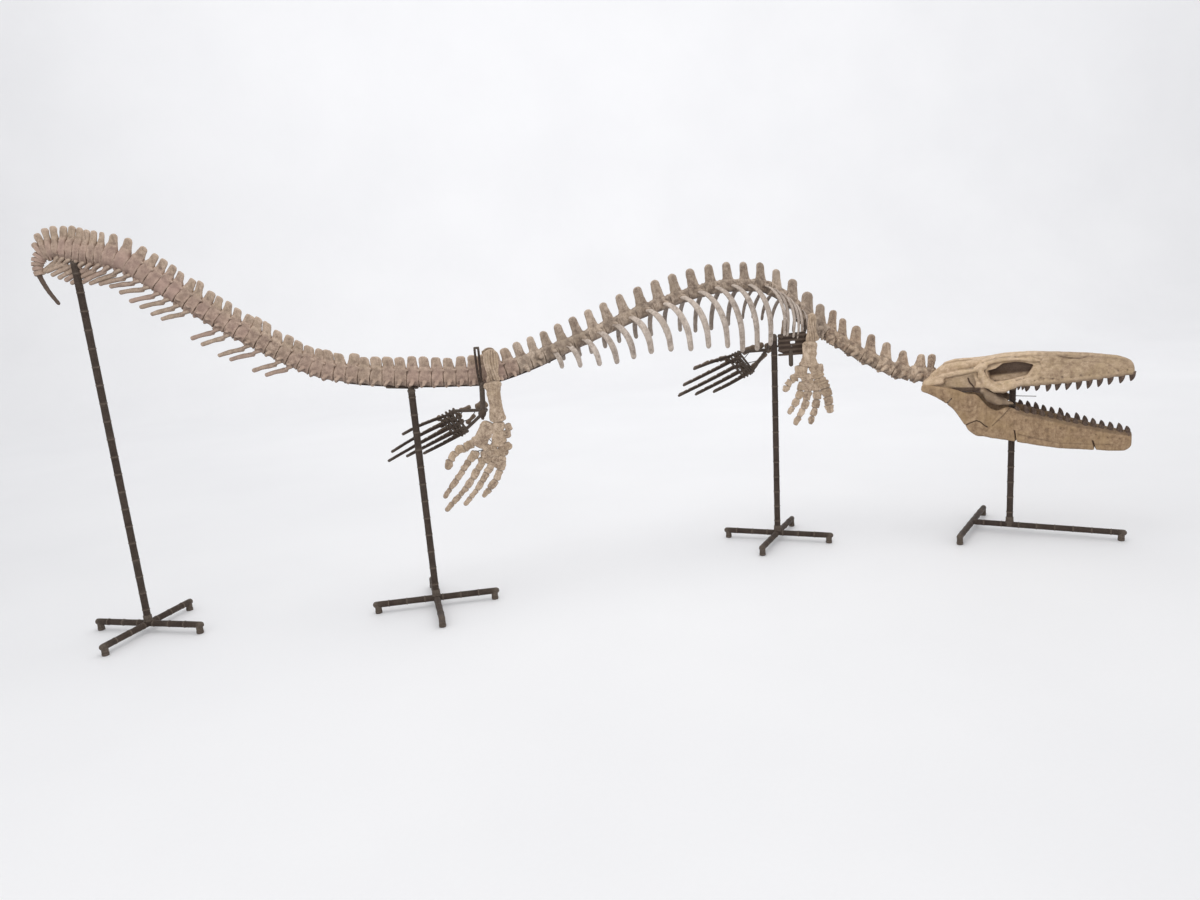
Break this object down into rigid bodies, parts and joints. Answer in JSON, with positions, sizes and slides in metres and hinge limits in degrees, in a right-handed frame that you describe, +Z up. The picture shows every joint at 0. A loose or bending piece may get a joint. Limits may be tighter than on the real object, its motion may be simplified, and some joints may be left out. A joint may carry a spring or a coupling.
{
  "type": "mounted mosasaur skeleton",
  "caption": "Life-size mounted skeleton of a mosasaur, a swimming reptile of the chalk seas, jaws open and back arched, on four slim steel tube stands.",
  "frame": {"origin": "centre of the outline at floor level", "axes": "+X towards the snout, +Y to the animal's left, +Z up"},
  "size_m": [5.0752, 0.9888, 1.8728],
  "materials": {
    "body_bone": "matt greyish tan fossil bone, fine pores and brown stains",
    "tail_bone": "matt pinkish grey brown fossil bone",
    "skull_bone": "matt warm yellowish tan fossil bone with dark cracks, dark brown teeth",
    "stand_steel": "dark brown hammered steel, low sheen"
  },
  "bodies": {
    "root": {"femur_left": "body_bone", "femur_right": "body_bone", "fibula_left": "body_bone", "fibula_right": "body_bone", "fore_paddle_left": "body_bone", "fore_paddle_right": "body_bone", "hind_paddle_left": "body_bone", "hind_paddle_right": "body_bone", "humerus_left": "body_bone", "humerus_right": "body_bone", "ilium_left": "body_bone", "ilium_right": "body_bone", "jaw_left": "skull_bone", "jaw_right": "skull_bone", "neck": "body_bone", "radius_left": "body_bone", "radius_right": "body_bone", "scapula_left": "body_bone", "scapula_right": "body_bone", "skull": "skull_bone", "stand_1_base": "stand_steel", "stand_1_post": "stand_steel", "stand_2_base": "stand_steel", "stand_2_post": "stand_steel", "stand_3_base": "stand_steel", "stand_3_post": "stand_steel", "stand_4_base": "stand_steel", "stand_4_post": "stand_steel", "stand_fore_frame": "stand_steel", "stand_hind_frame": "stand_steel", "stand_hip_frame": "stand_steel", "stand_shoulder_arm": "stand_steel", "stand_shoulder_frame": "stand_steel", "stand_spine_rod": "stand_steel", "tail_1": "tail_bone", "tail_2": "tail_bone", "tail_3": "tail_bone", "tail_4": "tail_bone", "tail_tip": "tail_bone", "tibia_left": "body_bone", "tibia_right": "body_bone", "trunk_front_left": "body_bone", "trunk_front_right": "body_bone", "trunk_rear_left": "body_bone", "trunk_rear_right": "body_bone", "ulna_left": "body_bone", "ulna_right": "body_bone"}
  },
  "joints": []
}
